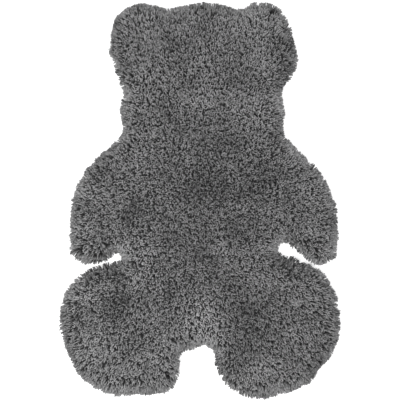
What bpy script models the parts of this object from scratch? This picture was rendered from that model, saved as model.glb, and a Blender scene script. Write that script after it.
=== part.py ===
"""A bear-shaped shag rug for a child's room, lying flat.

It is one backing cloth cut to a bear's outline, with ears, arms and legs, and a deep pile tufted
through it. The pile stands a little past the cloth, and at the rim its locks of yarn lean out
and down until they lie on the floor. +Z is up, +Y is towards the head, and the origin is on
the floor at the middle of the rug. Lengths are in metres.
"""

import math
import random

import bmesh
import bpy
from mathutils import Vector, geometry, noise

# Driving dimensions
RUG_LENGTH = 1.42
BACKING_THICKNESS = 0.003
PILE_TOP = 0.029
PILE_GAP = 0.0003

# Insets from the outline, which the tips of the rim's locks reach on average
BACKING_INSET = 0.020
SLAB_INSET = 0.014

# Lumps of the pile's top, and the way it falls off towards the rim
LUMP_PITCH = 0.027
LUMP_SIZE = 0.050
LUMP_HEIGHT = 0.0050
TUFT_HEIGHT = 0.0028
RIM_TOP = 0.019
RIM_FALL = 0.050

# Locks of the rim, one for each step along it
LOCK_COUNT = 292
LOCK_STEP_SPREAD = 0.32
LOCK_SHORTEST = 0.72
LOCK_LONGEST = 1.28
LOCK_CLEARANCE = 0.005
LOCK_NEIGHBOURS = 6
LOCK_SWAY = 0.24
LOCK_BEND_REACH = 0.55
LOCK_BEND_WIDTH = 0.78
LOCK_BEND_TOP = 0.0115
LOCK_TIP_WIDTH = 0.34
LOCK_TIP_TOP = 0.0040

BACKING_STEP = 0.020
PILE_GREY = (0.115, 0.115, 0.117, 1)
BACKING_GREY = (0.28, 0.27, 0.25, 1)
SEED = 9

# The outline is a belt led clockwise round circles. It runs outside a full one and dents in
# round a hollow one. Centres and radii are in centimetres on a rug 142 cm long, and the
# table's middle is the place in it that becomes the rug's origin.
TABLE_LENGTH = 142
TABLE_MIDDLE = (-0.206, -0.198)
FULL, HOLLOW = 1, -1
OUTLINE = (
    # place, kind, x, y, radius
    ("crown of the head", FULL, 0.5, 34.1, 36.0),
    ("dip beside the right ear", HOLLOW, 13.8, 73.1, 5.0),
    ("right ear, top", FULL, 22.3, 61.1, 9.4),
    ("right ear, side", FULL, 25.3, 50.5, 9.5),
    ("below the right ear", HOLLOW, 33.2, 37.8, 4.0),
    ("right cheek", FULL, 17.0, 30.0, 13.0),
    ("right neck", HOLLOW, 34.6, 25.0, 5.0),
    ("right shoulder and arm", FULL, 18.2, -9.0, 30.8),
    ("right hand", FULL, 42.4, -16.9, 6.5),
    ("right armpit", HOLLOW, 30.0, -17.4, 2.3),
    ("right thigh", FULL, 30.2, -39.6, 19.0),
    ("right leg, side", FULL, 28.6, -45.0, 21.1),
    ("right foot, outer side", FULL, 26.2, -48.4, 20.9),
    ("right foot", FULL, 21.0, -55.3, 15.5),
    ("between the legs, right", HOLLOW, 0.8, -56.4, 4.3),
    ("between the legs, left", HOLLOW, -5.4, -56.0, 1.9),
    ("left foot, inner side", FULL, -16.5, -60.3, 9.0),
    ("left foot", FULL, -27.3, -49.0, 20.8),
    ("left leg, side", FULL, -29.4, -43.8, 20.6),
    ("left thigh", FULL, -31.2, -41.2, 18.6),
    ("left armpit", HOLLOW, -29.7, -20.7, 1.6),
    ("left palm", FULL, -37.2, -20.3, 2.8),
    ("left hand", FULL, -41.6, -16.9, 4.9),
    ("left shoulder and arm", FULL, -18.5, -5.5, 27.6),
    ("left neck", HOLLOW, -31.8, 25.3, 4.0),
    ("left cheek", FULL, -16.0, 30.5, 12.5),
    ("below the left ear", HOLLOW, -32.4, 38.0, 5.0),
    ("left ear, side", FULL, -21.4, 54.5, 11.0),
    ("left ear, top", FULL, -21.3, 60.4, 9.8),
    ("dip beside the left ear", HOLLOW, -12.5, 73.3, 5.0),
)


def belt(inset):
    """The outline moved in by inset, as (point, outward direction), a point every 2 mm on arcs."""
    unit = RUG_LENGTH / TABLE_LENGTH
    centres = [(Vector((x, y)) - Vector(TABLE_MIDDLE)) * unit for _, _, x, y, _ in OUTLINE]
    radii = [kind * radius * unit - inset for _, kind, _, _, radius in OUTLINE]
    count = len(OUTLINE)
    leaving = []
    for i in range(count):
        ahead = centres[(i + 1) % count] - centres[i]
        turn = math.acos((radii[i] - radii[(i + 1) % count]) / ahead.length)
        leaving.append(math.atan2(ahead.y, ahead.x) + turn)
    found = []
    for i, (centre, radius) in enumerate(zip(centres, radii)):
        arriving = leaving[i - 1]
        if radius > 0:
            sweep = -((arriving - leaving[i]) % math.tau)
        else:
            sweep = (leaving[i] - arriving) % math.tau
        steps = max(1, round(abs(radius * sweep) / 0.002))
        for step in range(steps + 1):
            angle = arriving + sweep * step / steps
            out = Vector((math.cos(angle), math.sin(angle)))
            found.append((centre + radius * out, out))
    return found


def spaced(points, shares):
    """Points along a closed line, spaced in proportion to shares, as (point, outward direction)."""
    ends = points[1:] + points[:1]
    lengths = [(b[0] - a[0]).length for a, b in zip(points, ends)]
    pitch = sum(lengths) / sum(shares)
    found, run, walked, wanted = [], 0, 0.0, 0.0
    for share in shares:
        while walked + lengths[run] < wanted:
            walked += lengths[run]
            run += 1
        along = (wanted - walked) / max(lengths[run], 1e-9)
        start, end = points[run], ends[run]
        found.append((start[0].lerp(end[0], along), start[1].lerp(end[1], along).normalized()))
        wanted += share * pitch
    return found


def inside(point, outline):
    """Whether a point lies inside a closed outline, by counting the edges to its right."""
    crossings = 0
    for a, b in zip(outline, outline[1:] + outline[:1]):
        if (a.y > point.y) != (b.y > point.y):
            crossings += point.x < a.x + (b.x - a.x) * (point.y - a.y) / (b.y - a.y)
    return crossings % 2 == 1


def material(name, colour, roughness):
    made = bpy.data.materials.new(name)
    made.use_nodes = True
    shader = made.node_tree.nodes["Principled BSDF"]
    shader.inputs["Base Color"].default_value = colour
    shader.inputs["Roughness"].default_value = roughness
    shader.inputs["Metallic"].default_value = 0
    return made


def make_backing(collection):
    """The backing cloth: a flat outline with the cloth's thickness, its underside on the floor."""
    line = belt(BACKING_INSET)
    length = sum((b[0] - a[0]).length for a, b in zip(line, line[1:]))
    points = spaced(line, [1] * round(length / BACKING_STEP))
    curve = bpy.data.curves.new("backing", "CURVE")
    curve.dimensions = "2D"
    curve.fill_mode = "BOTH"
    curve.extrude = BACKING_THICKNESS / 2
    spline = curve.splines.new("POLY")
    spline.points.add(len(points) - 1)
    spline.use_cyclic_u = True
    for place, (point, _) in zip(spline.points, points):
        place.co = (point.x, point.y, 0, 1)
    backing = bpy.data.objects.new("backing", curve)
    backing.location.z = BACKING_THICKNESS / 2
    curve.materials.append(material("backing cloth", BACKING_GREY, 0.9))
    collection.objects.link(backing)
    return backing


def top_points(rim, rng):
    """Where the lumps of the top stand: a staggered grid, shaken a little, clear of the rim."""
    outline = [point for point, _ in rim]
    low_x, high_x = min(p.x for p in outline), max(p.x for p in outline)
    low_y, high_y = min(p.y for p in outline), max(p.y for p in outline)
    row_pitch = LUMP_PITCH * math.sqrt(3) / 2
    found = []
    for row in range(int((high_y - low_y) / row_pitch) + 1):
        for column in range(int((high_x - low_x) / LUMP_PITCH) + 2):
            shake = Vector((rng.uniform(-1, 1), rng.uniform(-1, 1))) * LUMP_PITCH * 0.22
            place = Vector((column - row % 2 / 2, row)) * LUMP_PITCH
            place.y *= math.sqrt(3) / 2
            point = Vector((low_x, low_y)) + place + shake
            if inside(point, outline) and distance_to(outline, point) > LUMP_PITCH * 0.6:
                found.append(point)
    return found


def distance_to(outline, point):
    return min((corner - point).length for corner in outline)


def top_height(point, outline, rng):
    """The pile's height: full in the middle, falling to the rim in a curve, with its lumps."""
    share = 1 - min(distance_to(outline, point) / RIM_FALL, 1)
    fall = (PILE_TOP - RIM_TOP) * share**2
    lump = noise.noise(Vector((point.x, point.y, SEED)) / LUMP_SIZE) * LUMP_HEIGHT * 2
    return PILE_TOP - fall + (lump + rng.uniform(-1, 1) * TUFT_HEIGHT) * (1 - share / 2)


def make_slab(bm, rim, rng):
    """The pile's body: a flat bottom, walls round the rim and a lumpy top."""
    outline = [point for point, _ in rim]
    count = len(outline)
    edges = [(i, (i + 1) % count) for i in range(count)]
    places = outline + top_points(rim, rng)
    points, _, faces, sources, _, _ = geometry.delaunay_2d_cdt(places, edges, [], 1, 1e-6)
    on_rim = bm.verts.layers.int.new("on_rim")
    on_top = bm.verts.layers.int.new("on_top")
    bottom = PILE_GAP + BACKING_THICKNESS
    corners = [bm.verts.new((point.x, point.y, bottom)) for point in points]
    for corner, source in zip(corners, sources):
        corner[on_rim] = min(source)
    for face in faces:
        bm.faces.new([corners[i] for i in face])
    bmesh.ops.recalc_face_normals(bm, faces=bm.faces)
    lower = list(bm.faces)
    raised = bmesh.ops.extrude_face_region(bm, geom=lower, use_keep_orig=True)["geom"]
    for corner in raised:
        if isinstance(corner, bmesh.types.BMVert):
            corner[on_top] = 1
            corner.co.z = top_height(corner.co.xy, outline, rng)
    bmesh.ops.recalc_face_normals(bm, faces=bm.faces)
    bmesh.ops.dissolve_faces(bm, faces=lower, use_verts=True)
    return on_rim, on_top


def room_across(rim, place):
    """How far the rim is from its own other side, as across the slit between an arm and a leg."""
    count = len(rim)
    far = [
        (rim[(place + step) % count][0] - rim[place][0]).length
        for step in range(LOCK_NEIGHBOURS, count - LOCK_NEIGHBOURS)
    ]
    return min(far)


def make_locks(bm, rim, layers, rng):
    """Draws each wall face out into a four-sided lock that bends down and lies on the floor."""
    on_rim, on_top = layers
    count = len(rim)
    walls = [f for f in bm.faces if len(f.verts) == 4 and 0 < sum(v[on_top] for v in f.verts) < 4]
    walls.sort(key=lambda face: sorted(v[on_rim] for v in face.verts))
    for wall in walls:
        ends = {corner[on_rim] for corner in wall.verts}
        start = next(i for i in ends if (i + 1) % count in ends)
        room = (room_across(rim, start) - LOCK_CLEARANCE) / 2
        reach = min(SLAB_INSET * rng.uniform(LOCK_SHORTEST, LOCK_LONGEST), room)
        sway = rng.uniform(-LOCK_SWAY, LOCK_SWAY)
        lift = rng.uniform(0.8, 1.25)
        for share, width, top in (
            (LOCK_BEND_REACH, LOCK_BEND_WIDTH, LOCK_BEND_TOP * lift),
            (1, LOCK_TIP_WIDTH, LOCK_TIP_TOP * lift),
        ):
            wall = bmesh.ops.extrude_discrete_faces(bm, faces=[wall])["faces"][0]
            sides = [rim[i][0] + rim[i][1] * reach * share for i in (start, (start + 1) % count)]
            middle = (sides[0] + sides[1]) / 2 + (sides[1] - sides[0]) * sway * share
            for corner in wall.verts:
                side = sides[corner[on_rim] != start]
                place = middle + (side - (sides[0] + sides[1]) / 2) * width
                corner.co = (place.x, place.y, top if corner[on_top] else 0)


def make_pile(collection):
    rng = random.Random(SEED)
    shares = [1 + rng.uniform(-LOCK_STEP_SPREAD, LOCK_STEP_SPREAD) for _ in range(LOCK_COUNT)]
    rim = spaced(belt(SLAB_INSET), shares)
    bm = bmesh.new()
    layers = make_slab(bm, rim, rng)
    make_locks(bm, rim, layers, rng)
    mesh = bpy.data.meshes.new("pile")
    bm.to_mesh(mesh)
    bm.free()
    pile = bpy.data.objects.new("pile", mesh)
    mesh.materials.append(material("pile yarn", PILE_GREY, 0.85))
    mesh.shade_smooth()
    mesh.set_sharp_from_angle(angle=math.radians(50))
    collection.objects.link(pile)
    return pile


for old in list(bpy.data.objects):
    bpy.data.objects.remove(old)
rug = bpy.data.collections.new("bear shag rug")
bpy.context.scene.collection.children.link(rug)
make_backing(rug)
make_pile(rug)
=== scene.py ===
import math

import bmesh
import bpy
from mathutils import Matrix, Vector, geometry, kdtree, noise


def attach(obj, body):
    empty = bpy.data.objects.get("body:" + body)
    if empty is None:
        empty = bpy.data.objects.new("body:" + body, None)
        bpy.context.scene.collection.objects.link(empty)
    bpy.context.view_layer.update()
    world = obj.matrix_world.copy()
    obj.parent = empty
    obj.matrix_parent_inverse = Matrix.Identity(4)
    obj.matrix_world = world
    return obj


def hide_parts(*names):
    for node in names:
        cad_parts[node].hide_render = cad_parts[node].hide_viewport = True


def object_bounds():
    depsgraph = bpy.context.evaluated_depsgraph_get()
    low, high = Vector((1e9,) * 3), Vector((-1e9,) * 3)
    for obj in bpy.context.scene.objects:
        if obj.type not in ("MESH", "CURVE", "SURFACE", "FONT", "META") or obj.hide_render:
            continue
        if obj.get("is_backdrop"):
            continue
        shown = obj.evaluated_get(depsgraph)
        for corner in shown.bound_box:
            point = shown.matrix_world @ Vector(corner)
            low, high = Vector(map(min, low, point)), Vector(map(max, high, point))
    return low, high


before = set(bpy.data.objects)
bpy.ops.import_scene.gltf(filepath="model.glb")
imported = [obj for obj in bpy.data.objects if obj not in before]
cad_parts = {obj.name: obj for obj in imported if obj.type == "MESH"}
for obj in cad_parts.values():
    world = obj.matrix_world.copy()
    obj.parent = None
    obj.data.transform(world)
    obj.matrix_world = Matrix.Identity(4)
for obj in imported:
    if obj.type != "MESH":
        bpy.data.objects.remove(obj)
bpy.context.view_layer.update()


# The stage: a pale floor that glows a little, a camera straight above, and soft light from
# everywhere, a little stronger from the left and the foot end. The rug lies flat, its head at the
# top of the picture. Sizes are in metres, angles in radians and lights in watts.
VIEW_WIDTH = 1.427
VIEW_CENTRE = (0.0003, 0.0020)
CAMERA_HEIGHT = 3.0
PILE_LEVEL = 0.02
SENSOR_WIDTH = 36
FLOOR_SIZE = 30
FLOOR_DROP = 0.0004
FLOOR_PAINT = (0.55, 0.55, 0.55, 1)
FLOOR_ROUGHNESS = 0.9
FLOOR_GLOW = 0.60
SKY_STRENGTH = 0.45
SOFTBOXES = (
    # name, place, side, watts
    ("key softbox", (-0.8, -0.6, 2.9), 1.2, 95),
    ("fill softbox", (1.2, 1.5, 2.8), 2.4, 40),
)


def add(tree, kind, inputs=None, **settings):
    """A node of a tree. An input is given by its name or number, as a value or as a socket."""
    node = tree.nodes.new(kind)
    for name, value in settings.items():
        setattr(node, name, value)
    for name, value in (inputs or {}).items():
        if isinstance(value, bpy.types.NodeSocket):
            tree.links.new(value, node.inputs[name])
        else:
            node.inputs[name].default_value = value
    return node


def material(name, colour, roughness):
    """A new material, its node tree and its Principled shader."""
    made = bpy.data.materials.new(name)
    made.use_nodes = True
    shader = made.node_tree.nodes["Principled BSDF"]
    shader.inputs["Base Color"].default_value = colour
    shader.inputs["Roughness"].default_value = roughness
    return made, made.node_tree, shader


def piece(name, mesh):
    """A shown object with that mesh, at the origin."""
    made = bpy.data.objects.new(name, mesh)
    bpy.context.scene.collection.objects.link(made)
    return made


half = FLOOR_SIZE / 2
floor_mesh = bpy.data.meshes.new("floor")
floor_corners = [(-half, -half), (half, -half), (half, half), (-half, half)]
floor_mesh.from_pydata([(x, y, -FLOOR_DROP) for x, y in floor_corners], [], [(0, 1, 2, 3)])
floor_paint, _, floor_shader = material("floor paint", FLOOR_PAINT, FLOOR_ROUGHNESS)
floor_shader.inputs["Emission Color"].default_value = (1, 1, 1, 1)
floor_shader.inputs["Emission Strength"].default_value = FLOOR_GLOW
floor_mesh.materials.append(floor_paint)
floor = piece("floor", floor_mesh)
floor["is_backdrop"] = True

camera_data = bpy.data.cameras.new("camera")
camera_data.sensor_width = SENSOR_WIDTH
camera_data.lens = SENSOR_WIDTH * (CAMERA_HEIGHT - PILE_LEVEL) / VIEW_WIDTH
camera = piece("camera", camera_data)
camera.location = (*VIEW_CENTRE, CAMERA_HEIGHT)
bpy.context.scene.camera = camera

for name, place, side, watts in SOFTBOXES:
    light_data = bpy.data.lights.new(name, "AREA")
    light_data.size = side
    light_data.energy = watts
    light = piece(name, light_data)
    light.location = place
    light.rotation_euler = (-Vector(place)).to_track_quat("-Z", "Y").to_euler()

sky = bpy.data.worlds.new("studio")
sky.use_nodes = True
sky.node_tree.nodes["Background"].inputs["Color"].default_value = (1, 1, 1, 1)
sky.node_tree.nodes["Background"].inputs["Strength"].default_value = SKY_STRENGTH
bpy.context.scene.world = sky
bpy.context.scene.view_settings.view_transform = "Standard"


# The backing: one flat piece of plain woven cloth, cut to the bear's outline. It lies on the
# floor, and the yarn is tufted through it. The rim yarns hide it, so only its underside shows.
BACKING_THICKNESS = 0.003
BACKING_INSET = 0.020
BACKING_PITCH = 0.018
BACKING_WARP = (0.30, 0.29, 0.27, 1)
BACKING_WEFT = (0.22, 0.215, 0.20, 1)
BACKING_ROUGHNESS = 0.9
THREADS_APART = 0.0032
THREAD_RELIEF = 0.0006

# Inner corners stay OFF_RIM of a pitch off a slab's rim, and corners within MERGE_WITHIN are merged
OFF_RIM = 0.6
MERGE_WITHIN = 1e-6
TINY = 1e-9

# The rug's outline from above is a belt laid round these circles, in centimetres. The belt
# passes outside the full circles and dips in behind the hollow ones.
RUG_LENGTH = 1.42
TABLE_LENGTH = 142
TABLE_MIDDLE = (-0.206, -0.198)
ARC_STEP = 0.002
FULL, HOLLOW = 1, -1
OUTLINE = (
    # place, kind, x, y, radius
    ("crown of the head", FULL, 0.5, 34.1, 36.0),
    ("dip beside the right ear", HOLLOW, 13.8, 73.1, 5.0),
    ("right ear, top", FULL, 22.3, 61.1, 9.4),
    ("right ear, side", FULL, 25.3, 50.5, 9.5),
    ("below the right ear", HOLLOW, 33.2, 37.8, 4.0),
    ("right cheek", FULL, 17.0, 30.0, 13.0),
    ("right neck", HOLLOW, 34.6, 25.0, 5.0),
    ("right shoulder and arm", FULL, 18.2, -9.0, 30.8),
    ("right hand", FULL, 42.4, -16.9, 6.5),
    ("right armpit", HOLLOW, 30.0, -17.4, 2.3),
    ("right thigh", FULL, 30.2, -39.6, 19.0),
    ("right leg, side", FULL, 28.6, -45.0, 21.1),
    ("right foot, outer side", FULL, 26.2, -48.4, 20.9),
    ("right foot", FULL, 21.0, -55.3, 15.5),
    ("between the legs, right", HOLLOW, 0.8, -56.4, 4.3),
    ("between the legs, left", HOLLOW, -5.4, -56.0, 1.9),
    ("left foot, inner side", FULL, -16.5, -60.3, 9.0),
    ("left foot", FULL, -27.3, -49.0, 20.8),
    ("left leg, side", FULL, -29.4, -43.8, 20.6),
    ("left thigh", FULL, -31.2, -41.2, 18.6),
    ("left armpit", HOLLOW, -29.7, -20.7, 1.6),
    ("left palm", FULL, -37.2, -20.3, 2.8),
    ("left hand", FULL, -41.6, -16.9, 4.9),
    ("left shoulder and arm", FULL, -18.5, -5.5, 27.6),
    ("left neck", HOLLOW, -31.8, 25.3, 4.0),
    ("left cheek", FULL, -16.0, 30.5, 12.5),
    ("below the left ear", HOLLOW, -32.4, 38.0, 5.0),
    ("left ear, side", FULL, -21.4, 54.5, 11.0),
    ("left ear, top", FULL, -21.3, 60.4, 9.8),
    ("dip beside the left ear", HOLLOW, -12.5, 73.3, 5.0),
)


def belt(inset):
    """The outline moved in by inset, as points, with one every 2 mm round the arcs."""
    unit = RUG_LENGTH / TABLE_LENGTH
    centres = [(Vector((x, y)) - Vector(TABLE_MIDDLE)) * unit for _, _, x, y, _ in OUTLINE]
    radii = [kind * radius * unit - inset for _, kind, _, _, radius in OUTLINE]
    count = len(OUTLINE)
    leaving = []
    for i in range(count):
        ahead = centres[(i + 1) % count] - centres[i]
        turn = math.acos((radii[i] - radii[(i + 1) % count]) / ahead.length)
        leaving.append(math.atan2(ahead.y, ahead.x) + turn)
    found = []
    for i, (centre, radius) in enumerate(zip(centres, radii)):
        arriving = leaving[i - 1]
        if radius > 0:
            sweep = -((arriving - leaving[i]) % math.tau)
        else:
            sweep = (leaving[i] - arriving) % math.tau
        steps = max(1, round(abs(radius * sweep) / ARC_STEP))
        for step in range(steps + 1):
            angle = arriving + sweep * step / steps
            found.append(centre + radius * Vector((math.cos(angle), math.sin(angle))))
    return found


def evened(points, pitch):
    """A closed line's points, set afresh about one pitch apart."""
    ends = points[1:] + points[:1]
    lengths = [(end - start).length for start, end in zip(points, ends)]
    count = round(sum(lengths) / pitch)
    step = sum(lengths) / count
    found, run, walked = [], 0, 0.0
    for place in range(count):
        while walked + lengths[run] < place * step:
            walked += lengths[run]
            run += 1
        found.append(points[run].lerp(ends[run], (place * step - walked) / max(lengths[run], TINY)))
    return found


def closed(points):
    """The edges of a closed line."""
    return [(i, (i + 1) % len(points)) for i in range(len(points))]


def slab(name, inset, pitch, bottom, top):
    """A closed slab with the rug's outline, in triangles. top gives its height at (x, y)."""
    rim = evened(belt(inset), pitch)
    near = kdtree.KDTree(len(rim))
    for i, point in enumerate(rim):
        near.insert(point.to_3d(), i)
    near.balance()
    low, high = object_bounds()
    row_pitch = pitch * math.sqrt(3) / 2
    places = list(rim)
    for row in range(int((high.y - low.y) / row_pitch) + 1):
        for column in range(int((high.x - low.x) / pitch) + 2):
            point = Vector((low.x + (column - row % 2 / 2) * pitch, low.y + row * row_pitch))
            if near.find(point.to_3d())[2] > pitch * OFF_RIM:
                places.append(point)
    points, _, faces, _, _, _ = geometry.delaunay_2d_cdt(places, closed(rim), [], 1, MERGE_WITHIN)
    bm = bmesh.new()
    corners = [bm.verts.new((point.x, point.y, bottom)) for point in points]
    for face in faces:
        bm.faces.new([corners[i] for i in face])
    bmesh.ops.delete(bm, geom=[v for v in bm.verts if not v.link_faces], context="VERTS")
    raised = bmesh.ops.extrude_face_region(bm, geom=bm.faces[:], use_keep_orig=True)["geom"]
    for corner in raised:
        if isinstance(corner, bmesh.types.BMVert):
            corner.co.z = top(corner.co.x, corner.co.y)
    bmesh.ops.recalc_face_normals(bm, faces=bm.faces)
    mesh = bpy.data.meshes.new(name)
    bm.to_mesh(mesh)
    bm.free()
    return mesh


def backing_cloth():
    """Plain weave: warp and weft ridges that pass over each other in turn."""
    made, tree, shader = material("backing cloth", BACKING_WARP, BACKING_ROUGHNESS)
    place = add(tree, "ShaderNodeTexCoord").outputs["Object"]
    turns = math.tau / THREADS_APART / 2
    parts = add(tree, "ShaderNodeSeparateXYZ", {0: place}).outputs
    waves = []
    for axis, kind in (("Y", "SINE"), ("X", "COSINE")):
        turned = add(tree, "ShaderNodeMath", {0: parts[axis], 1: turns}, operation="MULTIPLY").outputs[0]
        waves.append(add(tree, "ShaderNodeMath", {0: turned}, operation=kind).outputs[0])
    crossing = add(tree, "ShaderNodeMath", {0: waves[0], 1: waves[1]}, operation="MULTIPLY").outputs[0]
    over = add(tree, "ShaderNodeMath", {0: crossing, 1: 0.0}, operation="GREATER_THAN").outputs[0]
    height = add(tree, "ShaderNodeMath", {0: crossing}, operation="ABSOLUTE").outputs[0]
    colour = add(tree, "ShaderNodeMix", {0: over, 6: BACKING_WARP, 7: BACKING_WEFT}, data_type="RGBA")
    tree.links.new(colour.outputs[2], shader.inputs["Base Color"])
    bump = add(tree, "ShaderNodeBump", {"Height": height, "Distance": THREAD_RELIEF})
    tree.links.new(bump.outputs[0], shader.inputs["Normal"])
    return made


backing_mesh = slab("backing_cloth", BACKING_INSET, BACKING_PITCH, 0, lambda x, y: BACKING_THICKNESS)
backing_mesh.materials.append(backing_cloth())
backing = piece("backing_cloth", backing_mesh)
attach(backing, "root")
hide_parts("backing")


# The foot of the pile: the crowded lower ends of the yarns, where no light gets in. They are
# too close together to tell apart, so they are one lumpy layer on the backing cloth. Its dark
# grey is painted shade.
FOOT_GAP = 0.0003
FOOT_HEIGHT = 0.0125
FOOT_INSET = 0.021
FOOT_PITCH = 0.014
FOOT_LUMP = 0.003
FOOT_LUMP_SIZE = 0.03
# Painted shade: the lower yarn is dark because little light reaches down here
FOOT_PAINTED_SHADE = (0.03, 0.03, 0.031, 1)
FOOT_ROUGHNESS = 0.95
FOOT_YARNS_PER_METRE = 230
FOOT_RELIEF = 0.004


def foot_top(x, y):
    """The layer's height, with its lumps."""
    return FOOT_HEIGHT + noise.noise(Vector((x, y, 0)) / FOOT_LUMP_SIZE) * FOOT_LUMP


foot_mesh = slab("pile_foot", FOOT_INSET, FOOT_PITCH, BACKING_THICKNESS + FOOT_GAP, foot_top)
foot_finish, foot_tree, foot_shader = material("yarn in the shade", FOOT_PAINTED_SHADE, FOOT_ROUGHNESS)
foot_place = add(foot_tree, "ShaderNodeTexCoord").outputs["Object"]
foot_ends = add(foot_tree, "ShaderNodeTexVoronoi", {"Vector": foot_place, "Scale": FOOT_YARNS_PER_METRE})
foot_bump = add(
    foot_tree, "ShaderNodeBump", {"Height": foot_ends.outputs["Distance"], "Distance": FOOT_RELIEF}
)
foot_tree.links.new(foot_bump.outputs[0], foot_shader.inputs["Normal"])
foot_mesh.materials.append(foot_finish)
foot = piece("pile_foot", foot_mesh)
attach(foot, "root")
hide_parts("pile")


# The yarns: tens of thousands of cut ends of thick, soft, twisted grey yarn, tufted through the
# cloth close together. In the middle they stand and lean every way in small drifts. Round the
# rim they fan out over the cloth's edge in locks and droop to the floor.

# How close the yarns stand, how thick they are and how high
YARN_SPACING = 0.00328
YARN_DENSITY = 500000
RIM_SPACING = 0.0036
RIM_CROWD = 0.036
YARN_WIDTH = 0.0034
YARN_TAPER = 0.15
RIM_WIDER = 1.65
YARN_HEIGHT = 0.0298
YARN_UNEVEN = 0.0052
LUMP_SIZE = 0.045
LUMP_HEIGHT = 0.0040
TUFT_SIZE = 0.018
TUFT_DIP = 0.0045

# How they lean, bend and twist. HUMP makes the sway half way up YARN_SWAY at most
YARN_REACH = 0.0090
LEAN_LEAST = 0.5
LEAN_MOST = 1.4
DRIFT_SIZE = 0.030
DRIFT_SHARE = 0.35
COMB = 0.011
TUFT_DRAW = 0.32
YARN_BEND = 0.78
YARN_SWAY = 0.004
HUMP = 4.0
YARN_TWIST = 2.4

# The lowest place for a yarn's corners: just off the floor, and free across and along
LOWEST = (-10.0, -10.0, 0.0004)

# At the rim: how the yarns gather and stray, how far past the outline they reach, how low they lie
RIM_START = 0.068
RIM_DRAW = 0.45
RIM_STRAY = 1.70
RIM_OVER = 0.0041
RIM_RAGGED = 0.0012
RIM_TUFT = 0.0035
RIM_SCALLOP = 0.0090
RIM_SLOPE = 0.036
RIM_LOW = 0.45

# In the lee, where the rim faces the rug's middle, the yarns stand higher and get more painted shade
LEE_AT = -0.4
SWEPT_AT = 0.5
LEE_HIGH = 0.75
LEE_PAINTED_SHADE = 0.20

# Shades of grey: each yarn's own, its tuft's and the patches'. Near the rim the yarns get painted light
# and painted shade, and each yarn gets painted shade from its tip down to its root
YARN_DARK = (0.022, 0.022, 0.0224, 1)
YARN_LIGHT = (0.49, 0.49, 0.494, 1)
SHADE_POWER = 0.5
SHADE_LEAST = 0.06
SHADE_RANGE = 0.60
DARKEST = 0.02
LIGHTEST = 0.98
TUFT_SHARE = 0.14
PATCH_SIZE = 0.13
PATCH_SHARE = 0.18
# Painted light towards the rim, and painted shade at the rim itself, more so in its lee
RIM_PAINTED_LIGHT = 0.05
RIM_PAINTED_LIGHT_START = 0.20
RIM_PAINTED_SHADE = 0.14
# Painted shade down each yarn: darker from its tip towards its root, further up at the rim
RIM_TIPS = 1.1
LIT_FROM = 0.45
LIT_TO = 0.92
ROOT_PAINTED_SHADE = 0.09

# How dull the yarn is, and how it shines
YARN_ROUGHNESS = 0.72
YARN_SHEEN = 0.08
YARN_SHEEN_ROUGHNESS = 0.5
YARN_GLOSS = 0.12

# On the map for the finish: how far apart a yarn's sides are, and how far up it its tip is
MAP_ACROSS = 0.004
MAP_APART = 0.01
MAP_TIP = 0.95

# Seeds of the random draws, places of the noises, and the gain that takes a noise to 1 and -1
YARN_SEED = 4
RIM_SEED = 9
WAY_SEED = 11
LEAN_SEED = 12
OVER_SEED = 13
TOP_SEED = 14
SHADE_SEED = 16
TURN_SEED = 17
DRIFT_PLACE = 3.0
LUMP_PLACE = 7.0
PATCH_PLACE = 19.0
NOISE_GAIN = 3.2

LONG_LOCKS = (
    # place, x, y, size, how much further out the yarns reach (below zero: less far)
    ("left palm", -0.410, -0.215, 0.050, 0.013),
    ("left thigh, corner", -0.475, -0.305, 0.040, 0.024),
    ("left thigh, top", -0.450, -0.268, 0.050, 0.008),
    ("right leg, inner side", 0.078, -0.590, 0.060, 0.007),
    ("right palm", 0.350, -0.178, 0.035, 0.006),
    ("mouth of the right slit", 0.388, -0.222, 0.055, -0.012),
    ("right ear, top", 0.174, 0.692, 0.045, 0.012),
    ("right ear, corner", 0.280, 0.650, 0.040, -0.007),
    ("left ear, corner", -0.250, 0.665, 0.035, -0.007),
    ("left neck", -0.275, 0.200, 0.035, -0.006),
    ("left ear, side", -0.310, 0.620, 0.060, 0.005),
    ("right foot, outer side", 0.425, -0.585, 0.070, -0.012),
    ("left hand, corner", -0.435, -0.205, 0.030, -0.010),
)
# Painted light and shade: soft patches where the pile looks darker, and a few where it looks lighter
PAINTED_LIGHT_AND_SHADE_PATCHES = (
    # place, x, y, size, how much lighter the yarns are (below zero: darker)
    ("belly", 0.040, -0.025, 0.27, -0.10),
    ("left leg", -0.300, -0.390, 0.18, -0.20),
    ("right leg", 0.160, -0.440, 0.19, -0.20),
    ("between the legs", -0.010, -0.400, 0.13, 0.16),
    ("right shoulder", 0.260, 0.130, 0.16, -0.07),
    ("left thigh, top", -0.370, -0.240, 0.10, -0.12),
    ("middle of the head", 0.010, 0.400, 0.16, 0.08),
    ("left foot", -0.300, -0.600, 0.16, 0.10),
)
BANDS = (
    # piece, and the stretch of the rug's length that it covers
    ("yarn_head", 0.350, 1.0),
    ("yarn_chest", 0.039, 0.350),
    ("yarn_belly", -0.189, 0.039),
    ("yarn_hips", -0.425, -0.189),
    ("yarn_legs", -1.0, -0.425),
)


def maths(operation, *values):
    """One sum with numbers."""
    return add(yarns, "ShaderNodeMath", dict(enumerate(values)), operation=operation).outputs[0]


def vectors(operation, *values):
    """One sum with vectors, whose result is a vector."""
    return add(yarns, "ShaderNodeVectorMath", dict(enumerate(values)), operation=operation).outputs[0]


def scaled(vector, factor):
    """A vector made longer or shorter by a factor."""
    return add(yarns, "ShaderNodeVectorMath", {0: vector, "Scale": factor}, operation="SCALE").outputs[0]


def dotted(first, second):
    """How far the first vector reaches along the second, a unit vector."""
    node = add(yarns, "ShaderNodeVectorMath", {0: first, 1: second}, operation="DOT_PRODUCT")
    return node.outputs["Value"]


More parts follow.
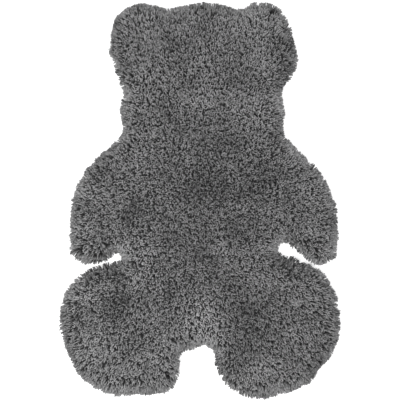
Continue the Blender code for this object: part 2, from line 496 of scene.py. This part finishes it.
def flattened(vector):
    """A vector with its height taken out."""
    return vectors("MULTIPLY", vector, (1.0, 1.0, 0.0))


def vector_of(**axes):
    """A vector from its X, Y and Z, or those that aren't zero."""
    return add(yarns, "ShaderNodeCombineXYZ", axes).outputs[0]


def parts_of(vector):
    """A vector's X, Y and Z."""
    return add(yarns, "ShaderNodeSeparateXYZ", {0: vector}).outputs


def mixed(share, start, end, kind="FLOAT"):
    """The value that lies that share of the way from start to end."""
    first = {"FLOAT": 2, "VECTOR": 4}[kind]
    node = add(yarns, "ShaderNodeMix", {0: share, first: start, first + 1: end}, data_type=kind)
    return node.outputs[{"FLOAT": 0, "VECTOR": 1}[kind]]


def ranged(value, start, end, low=0.0, high=1.0):
    """A number that runs from low to high while value runs from start to end, and stops there."""
    settings = dict(enumerate((value, start, end, low, high)))
    return add(yarns, "ShaderNodeMapRange", settings).outputs[0]


def drift(size, offset):
    """Smooth noise over the rug, its features about size across, from about -1 to 1 on each axis."""
    place = vectors("ADD", position, (offset, 0.0, 0.0))
    node = add(yarns, "ShaderNodeTexNoise", {"Vector": place, "Scale": 1 / size, "Detail": 1.0})
    return scaled(vectors("SUBTRACT", node.outputs["Color"], (0.5, 0.5, 0.5)), NOISE_GAIN)


def chance(low, high, seed):
    """A random number for each yarn."""
    settings = {2: low, 3: high, "Seed": seed}
    return add(yarns, "FunctionNodeRandomValue", settings, data_type="FLOAT").outputs[1]


def swelling(x, y, size, most):
    """A value that is most at (x, y) and falls smoothly to nothing at a distance of size."""
    apart = add(yarns, "ShaderNodeVectorMath", {0: flat_place, 1: (x, y, 0.0)}, operation="DISTANCE")
    settings = {0: apart.outputs["Value"], 1: 0.0, 2: size, 3: most, 4: 0.0}
    return add(yarns, "ShaderNodeMapRange", settings, interpolation_type="SMOOTHSTEP").outputs[0]


def crowded(spacing, seed):
    """Points all over the cloth, no two nearer than spacing."""
    settings = {
        "Mesh": given["Cloth"],
        "Distance Min": spacing,
        "Density Max": YARN_DENSITY,
        "Seed": seed,
    }
    node = add(yarns, "GeometryNodeDistributePointsOnFaces", settings, distribute_method="POISSON")
    return node.outputs["Points"]


def without(points, selection):
    """The points that aren't in the selection."""
    return add(yarns, "GeometryNodeDeleteGeometry", {0: points, "Selection": selection}).outputs[0]


def keep(geometry_socket, name, value, kind="FLOAT_VECTOR", domain="POINT"):
    """The geometry with value stored on it under a name."""
    node = add(yarns, "GeometryNodeStoreNamedAttribute", data_type=kind, domain=domain)
    yarns.links.new(geometry_socket, node.inputs["Geometry"])
    node.inputs["Name"].default_value = name
    yarns.links.new(value, next(s for s in node.inputs if s.name == "Value" and s.enabled))
    return node.outputs[0]


def kept(name, kind="FLOAT_VECTOR"):
    """What keep stored under that name."""
    node = add(yarns, "GeometryNodeInputNamedAttribute", {"Name": name}, data_type=kind)
    return next(s for s in node.outputs if s.name == "Attribute" and s.enabled)


yarns = bpy.data.node_groups.new("yarns", "GeometryNodeTree")
yarns.is_modifier = True
SOCKETS = (
    # name, kind, value
    ("Rim", "NodeSocketObject", None),
    ("From", "NodeSocketFloat", -1.0),
    ("To", "NodeSocketFloat", 1.0),
    ("Spacing", "NodeSocketFloat", YARN_SPACING),
    ("Height", "NodeSocketFloat", YARN_HEIGHT),
    ("Width", "NodeSocketFloat", YARN_WIDTH),
    ("Reach", "NodeSocketFloat", YARN_REACH),
    ("Seed", "NodeSocketInt", YARN_SEED),
    ("Yarn", "NodeSocketMaterial", None),
)
yarns.interface.new_socket("Cloth", in_out="INPUT", socket_type="NodeSocketGeometry")
for name, kind, value in SOCKETS:
    socket = yarns.interface.new_socket(name, in_out="INPUT", socket_type=kind)
    if value is not None:
        socket.default_value = value
yarns.interface.new_socket("Yarns", in_out="OUTPUT", socket_type="NodeSocketGeometry")
given = add(yarns, "NodeGroupInput").outputs

# Where the yarns stand: all over the cloth, with more of them near its rim, and one band kept
position = add(yarns, "GeometryNodeInputPosition").outputs[0]
flat_place = flattened(position)
rim_line = add(yarns, "GeometryNodeObjectInfo", {"Object": given["Rim"]}).outputs["Geometry"]
rim = add(yarns, "GeometryNodeProximity", {0: rim_line}, target_element="EDGES").outputs
field = crowded(given["Spacing"], given["Seed"])
crowd = without(crowded(RIM_SPACING, RIM_SEED), maths("GREATER_THAN", rim["Distance"], RIM_CROWD))
joined = add(yarns, "GeometryNodeJoinGeometry")
yarns.links.new(field, joined.inputs[0])
yarns.links.new(crowd, joined.inputs[0])
length_place = parts_of(position)["Y"]
before = maths("LESS_THAN", length_place, given["From"])
after = maths("GREATER_THAN", length_place, given["To"])
band = without(joined.outputs[0], maths("MAXIMUM", before, after))

# How each yarn leans: its own way, with its drift, towards its tuft, or out over the rim
away = vectors("NORMALIZE", flattened(vectors("SUBTRACT", rim["Position"], position)))
near_rim = ranged(rim["Distance"], RIM_START, BACKING_INSET)
angle = chance(0.0, math.tau, WAY_SEED)
own_way = vector_of(X=maths("COSINE", angle), Y=maths("SINE", angle))
lean = mixed(DRIFT_SHARE, own_way, flattened(drift(DRIFT_SIZE, DRIFT_PLACE)), "VECTOR")
lean = scaled(lean, maths("MULTIPLY", given["Reach"], chance(LEAN_LEAST, LEAN_MOST, LEAN_SEED)))
lean = scaled(lean, mixed(near_rim, 1.0, RIM_STRAY))
combed = scaled(flat_place, COMB)
against = maths("MAXIMUM", maths("MULTIPLY", dotted(combed, away), -1.0), 0.0)
combed = vectors("ADD", combed, scaled(away, maths("MULTIPLY", against, near_rim)))
tufts = add(
    yarns,
    "ShaderNodeTexVoronoi",
    {"Vector": flat_place, "Scale": 1 / TUFT_SIZE},
    voronoi_dimensions="2D",
).outputs
drawn = vectors("SUBTRACT", tufts["Position"], flat_place)
drawn = scaled(drawn, mixed(near_rim, TUFT_DRAW, RIM_DRAW))

# How far past the outline each yarn may reach, and how far it does
tuft = parts_of(tufts["Color"])
over = maths("MULTIPLY", maths("SUBTRACT", tuft["X"], 0.5), RIM_TUFT * 2)
over = maths("ADD", over, chance(RIM_OVER - RIM_RAGGED, RIM_OVER + RIM_RAGGED, OVER_SEED))
for _, x, y, size, further in LONG_LOCKS:
    over = maths("ADD", over, swelling(x, y, size, further))
spread = scaled(away, maths("MULTIPLY", near_rim, maths("ADD", over, BACKING_INSET)))
lean = vectors("ADD", vectors("ADD", lean, combed), vectors("ADD", drawn, spread))
scallop = maths("MULTIPLY", tufts["Distance"], RIM_SCALLOP)
furthest = maths("ADD", rim["Distance"], maths("SUBTRACT", over, scallop))
outwards = dotted(lean, away)
held = maths("MINIMUM", outwards, furthest)
reach = vectors("ADD", lean, scaled(away, maths("SUBTRACT", held, outwards)))
tip_inside = maths("SUBTRACT", rim["Distance"], held)

# How high and how thick each yarn is
lumps = parts_of(drift(LUMP_SIZE, LUMP_PLACE))
top = maths("ADD", given["Height"], maths("MULTIPLY", lumps["X"], LUMP_HEIGHT))
top = maths("ADD", top, chance(-YARN_UNEVEN, YARN_UNEVEN, TOP_SEED))
top = maths("SUBTRACT", top, maths("MULTIPLY", tufts["Distance"], TUFT_DIP))
facing = dotted(away, vectors("NORMALIZE", flat_place))
swept = ranged(facing, LEE_AT, SWEPT_AT)
tip = maths("MULTIPLY", top, ranged(tip_inside, 0.0, RIM_SLOPE, mixed(swept, LEE_HIGH, RIM_LOW), 1.0))
thickness = mixed(near_rim, 1.0, RIM_WIDER)

# How light each yarn is: its own tone, with painted light and shade near the rim and in listed patches
own_shade = maths("POWER", chance(0.0, 1.0, SHADE_SEED), SHADE_POWER)
shade = maths("MULTIPLY_ADD", own_shade, SHADE_RANGE, SHADE_LEAST)
patches = parts_of(drift(PATCH_SIZE, PATCH_PLACE))
shade = maths("ADD", shade, maths("MULTIPLY", patches["X"], PATCH_SHARE))
shade = maths("ADD", shade, maths("MULTIPLY", maths("SUBTRACT", tuft["Y"], 0.5), TUFT_SHARE))
# Painted light: the yarns lighter towards the rim
shade = maths("ADD", shade, ranged(rim["Distance"], RIM_PAINTED_LIGHT_START, BACKING_INSET, 0.0, RIM_PAINTED_LIGHT))
# Painted shade: the yarns darker at the rim, most in its lee
rim_painted_shade = maths("MULTIPLY", near_rim, mixed(swept, RIM_PAINTED_SHADE + LEE_PAINTED_SHADE, RIM_PAINTED_SHADE))
shade = maths("SUBTRACT", shade, rim_painted_shade)
# Painted light and shade in the listed patches
for _, x, y, size, lighter in PAINTED_LIGHT_AND_SHADE_PATCHES:
    shade = maths("ADD", shade, swelling(x, y, size, lighter))
shade = add(yarns, "ShaderNodeClamp", {0: shade, 1: DARKEST, 2: LIGHTEST}).outputs[0]

# Each point takes its yarn's measures along
measures = vector_of(X=thickness, Y=tip, Z=chance(-1.0, 1.0, TURN_SEED))
points = keep(band, "strand_root", position)
points = keep(points, "strand_reach", reach)
points = keep(points, "strand_measures", measures)
points = keep(points, "shade", shade, "FLOAT")
points = keep(points, "strand_rim", near_rim, "FLOAT")

# One yarn before it bends: three sides and three rings, its lower end a point
straight = add(
    yarns,
    "GeometryNodeMeshCone",
    {"Vertices": 3, "Side Segments": 3, "Radius Top": 1.0, "Radius Bottom": 0.0, "Depth": 1.0},
    fill_type="NGON",
)
one = keep(straight.outputs["Mesh"], "along", parts_of(position)["Z"], "FLOAT")
one = keep(one, "strand_ring", vectors("NORMALIZE", flattened(position)))
many = add(yarns, "GeometryNodeInstanceOnPoints", {"Points": points, "Instance": one}).outputs[0]
many = add(yarns, "GeometryNodeRealizeInstances", {0: many}).outputs[0]

# The bend: an arc that starts straight up from the root and leans over to the tip
along = kept("along", "FLOAT")
reach = kept("strand_reach")
measures = parts_of(kept("strand_measures"))
tip = measures["Y"]
turn = measures["Z"]
bend = maths("MULTIPLY", tip, YARN_BEND)
squared = maths("MULTIPLY", along, along)
rise = maths("MULTIPLY", maths("MULTIPLY", bend, 2.0), maths("SUBTRACT", along, squared))
rise = maths("ADD", rise, maths("MULTIPLY", tip, squared))
sideways = vectors("NORMALIZE", vectors("CROSS_PRODUCT", reach, (0.0, 0.0, 1.0)))
line = vectors("ADD", kept("strand_root"), scaled(reach, squared))
line = vectors("ADD", line, vector_of(Z=rise))
sway = maths("MULTIPLY", maths("MULTIPLY", turn, YARN_SWAY), maths("SUBTRACT", squared, along))
line = vectors("ADD", line, scaled(sideways, maths("MULTIPLY", sway, HUMP)))

# The yarn's three sides, set square to the bend and turned on the way up
climb = maths("MULTIPLY", bend, maths("SUBTRACT", 1.0, maths("MULTIPLY", along, 2.0)))
climb = maths("ADD", climb, maths("MULTIPLY", tip, along))
ahead = vectors("NORMALIZE", vectors("ADD", scaled(reach, along), vector_of(Z=climb)))
twist = maths("MULTIPLY_ADD", along, YARN_TWIST, maths("MULTIPLY", turn, math.pi))
turned = add(
    yarns,
    "ShaderNodeVectorRotate",
    {"Vector": kept("strand_ring"), "Angle": twist},
    rotation_type="Z_AXIS",
)
spokes = parts_of(turned.outputs[0])
across = vectors("CROSS_PRODUCT", sideways, ahead)
ring = vectors("ADD", scaled(sideways, spokes["X"]), scaled(across, spokes["Y"]))
girth = maths("MULTIPLY", given["Width"], maths("MULTIPLY", measures["X"], 0.5))
girth = maths("MULTIPLY", girth, maths("SUBTRACT", 1.0, maths("MULTIPLY", squared, YARN_TAPER)))
line = vectors("MAXIMUM", vectors("ADD", line, scaled(ring, girth)), LOWEST)
bent = add(yarns, "GeometryNodeSetPosition", {"Geometry": many, "Position": line}).outputs[0]

# A map for the finish: across it the yarn's shade, up it the way from root to tip
# At the rim the painted shade from the root climbs further up each yarn
lit_along = maths("POWER", along, maths("MULTIPLY_ADD", kept("strand_rim", "FLOAT"), RIM_TIPS, 1.0))
spokes = parts_of(kept("strand_ring"))
map_across = maths("ADD", kept("shade", "FLOAT"), maths("MULTIPLY", spokes["X"], MAP_ACROSS))
map_up = maths("MULTIPLY", maths("ADD", spokes["Y"], 1.0), MAP_APART)
map_up = maths("ADD", maths("MULTIPLY", lit_along, MAP_TIP), map_up)
mapped = keep(bent, "OFBake", vector_of(X=map_across, Y=map_up), "FLOAT2", "CORNER")
mapped = keep(mapped, "along", lit_along, "FLOAT")
cleared = add(
    yarns,
    "GeometryNodeRemoveAttribute",
    {"Geometry": mapped, "Name": "strand_*"},
    pattern_mode="WILDCARD",
)
smooth = add(yarns, "GeometryNodeSetShadeSmooth", {0: cleared.outputs[0]}).outputs[0]
coloured = add(yarns, "GeometryNodeSetMaterial", {"Geometry": smooth, "Material": given["Yarn"]})
add(yarns, "NodeGroupOutput", {0: coloured.outputs[0]})

# The finish of the yarn: grey, no two yarns quite alike, darker down towards the root in painted shade
yarn_finish, yarn_tree, yarn_shader = material("grey shag yarn", YARN_LIGHT, YARN_ROUGHNESS)
yarn_shade = add(yarn_tree, "ShaderNodeAttribute", attribute_name="shade").outputs["Fac"]
yarn_along = add(yarn_tree, "ShaderNodeAttribute", attribute_name="along").outputs["Fac"]
tone = add(yarn_tree, "ShaderNodeMix", {0: yarn_shade, 6: YARN_DARK, 7: YARN_LIGHT}, data_type="RGBA")
# Painted shade: the tone darkens from the cut end down to the root
lit = add(yarn_tree, "ShaderNodeMapRange", {0: yarn_along, 1: LIT_FROM, 2: LIT_TO, 3: ROOT_PAINTED_SHADE, 4: 1.0})
toned = add(
    yarn_tree,
    "ShaderNodeMix",
    {0: 1.0, 6: tone.outputs[2], 7: lit.outputs[0]},
    data_type="RGBA",
    blend_type="MULTIPLY",
)
yarn_tree.links.new(toned.outputs[2], yarn_shader.inputs["Base Color"])
yarn_shader.inputs["Sheen Weight"].default_value = YARN_SHEEN
yarn_shader.inputs["Sheen Roughness"].default_value = YARN_SHEEN_ROUGHNESS
yarn_shader.inputs["Specular IOR Level"].default_value = YARN_GLOSS

# The outline, which the yarns measure their distance from, and the cloth that they stand on
rim_level = BACKING_THICKNESS + FOOT_GAP
rim_points = belt(0)
rim_mesh = bpy.data.meshes.new("rim")
rim_mesh.from_pydata([(p.x, p.y, rim_level) for p in rim_points], closed(rim_points), [])
rim_object = piece("rim", rim_mesh)
ground_rim = evened(belt(BACKING_INSET + YARN_WIDTH / 2), ARC_STEP)
ground_flat, _, ground_faces, _, _, _ = geometry.delaunay_2d_cdt(
    ground_rim, closed(ground_rim), [], 1, MERGE_WITHIN
)
ground_mesh = bpy.data.meshes.new("tufted cloth")
ground_mesh.from_pydata([(p.x, p.y, rim_level) for p in ground_flat], [], ground_faces)

# The pieces: one for each band of the rug's length, so that each stays small enough to export
for name, start, end in BANDS:
    tufted = piece(name, ground_mesh)
    modifier = tufted.modifiers.new("yarns", "NODES")
    modifier.node_group = yarns
    values = {"Rim": rim_object, "From": start, "To": end, "Yarn": yarn_finish}
    for item in yarns.interface.items_tree:
        if item.name in values:
            modifier[item.identifier] = values[item.name]
    graph = bpy.context.evaluated_depsgraph_get()
    mesh = bpy.data.meshes.new_from_object(
        tufted.evaluated_get(graph), preserve_all_data_layers=True, depsgraph=graph
    )
    tufted.modifiers.remove(modifier)
    tufted.data = mesh
    mesh.name = name
    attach(tufted, "root")
    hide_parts("pile")
bpy.data.objects.remove(rim_object)
